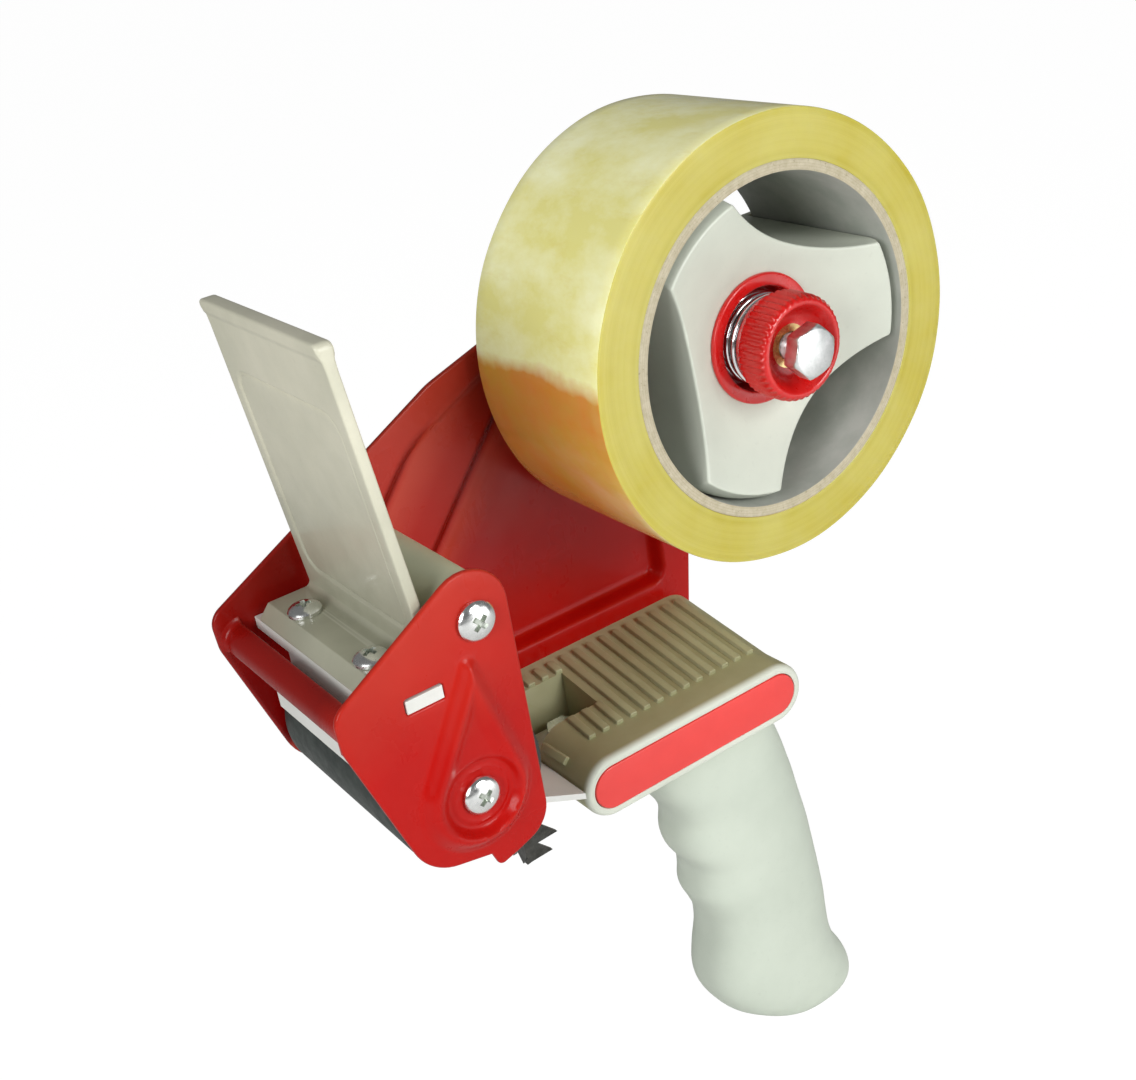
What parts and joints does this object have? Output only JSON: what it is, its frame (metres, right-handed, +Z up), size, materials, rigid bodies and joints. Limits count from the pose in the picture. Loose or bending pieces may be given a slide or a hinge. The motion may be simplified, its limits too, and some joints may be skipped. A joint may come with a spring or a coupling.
{
  "type": "hand tape dispenser",
  "caption": "Hand tape gun with a pressed steel frame, moulded grip, wiper, rubber front roller, serrated blade and a spring-braked hub that carries a roll of packing tape.",
  "frame": {"origin": "hub axis at the inner face of the side plate", "axes": "+X from the front roller towards the back of the handle, +Z up from the grip towards the roll, -Y along the hub axis from the side plate to the tension knob"},
  "size_m": [0.1789, 0.0736, 0.2672],
  "materials": {
    "frame_paint": "glossy red powder coat",
    "guide_paint": "satin light grey coat",
    "wiper_plastic": "satin warm grey moulding",
    "zinc_steel": "bright zinc plate",
    "roller_plastic": "satin grey moulding",
    "bright_steel": "turned",
    "black_rubber": "matt ground rubber",
    "tube_plastic": "plain",
    "plug_plastic": "plain",
    "blade_steel": "hardened spring steel",
    "block_plastic": "satin warm grey moulding",
    "inset_plastic": "smooth bright red",
    "grip_plastic": "fine moulded texture",
    "hub_plastic": "satin light grey moulding",
    "bush_brass": "turned",
    "friction_fibre": "pressed fibre",
    "red_plastic": "glossy red moulding",
    "spring_wire": "plated spring wire",
    "core_board": "wound kraft board",
    "tape_film": "clear film with yellow adhesive, wound in many layers"
  },
  "bodies": {
    "frame": {"main_frame": "frame_paint", "guide_plate": "guide_paint", "wiper": "wiper_plastic", "wiper_screws": "zinc_steel", "guide_axle": "bright_steel", "guide_screws": "zinc_steel", "roller_axle": "bright_steel", "roller_screws": "zinc_steel", "blade": "blade_steel", "blade_bracket": "zinc_steel", "blade_rivets": "zinc_steel", "bracket_bolt": "zinc_steel", "bracket_nut": "zinc_steel", "handle_block": "block_plastic", "handle_inset": "inset_plastic", "handle_screws": "zinc_steel", "handle_grip": "grip_plastic", "grip_screws": "zinc_steel", "hub_bush": "bush_brass", "friction_washer": "friction_fibre", "hub_bolt": "zinc_steel", "back_washer": "zinc_steel", "lock_nut": "zinc_steel"},
    "guide_roller": {"guide_roller": "roller_plastic"},
    "front_roller": {"roller_sleeve": "black_rubber", "roller_tube": "tube_plastic", "roller_plugs": "plug_plastic"},
    "hub": {"hub": "hub_plastic", "brake_cup": "red_plastic", "tension_spring": "spring_wire"},
    "roll": {"tape_core": "core_board", "tape_roll": "tape_film"},
    "thrust_washer": {"thrust_washer": "zinc_steel"},
    "knob": {"knob": "red_plastic", "knob_insert": "bush_brass"}
  },
  "joints": [
    {"name": "hub_spin", "type": "hinge", "parent": "frame", "child": "hub", "pos_m": [0, 0, 0], "axis": [0, 1, 0], "continuous": true},
    {"name": "roll_change", "type": "slide", "parent": "hub", "child": "roll", "axis": [0, -1, 0], "range_m": [0, 0.06]},
    {"name": "front_roller_spin", "type": "hinge", "parent": "frame", "child": "front_roller", "pos_m": [-0.0998, 0, -0.0664], "axis": [0, 1, 0], "continuous": true},
    {"name": "guide_roller_spin", "type": "hinge", "parent": "frame", "child": "guide_roller", "pos_m": [-0.093, 0, -0.0272], "axis": [0, 1, 0], "continuous": true},
    {"name": "knob_advance", "type": "slide", "parent": "frame", "child": "thrust_washer", "axis": [0, 1, 0], "range_m": [-0.00127, 0.00127], "deforming": ["tension_spring"]},
    {"name": "knob_turn", "type": "hinge", "parent": "thrust_washer", "child": "knob", "pos_m": [0, 0, 0], "axis": [0, 1, 0], "range_deg": [-360, 360]}
  ],
  "couplings": [
    {"joint": "knob_turn", "follows": "knob_advance", "rad_per_m": 4947.4}
  ]
}
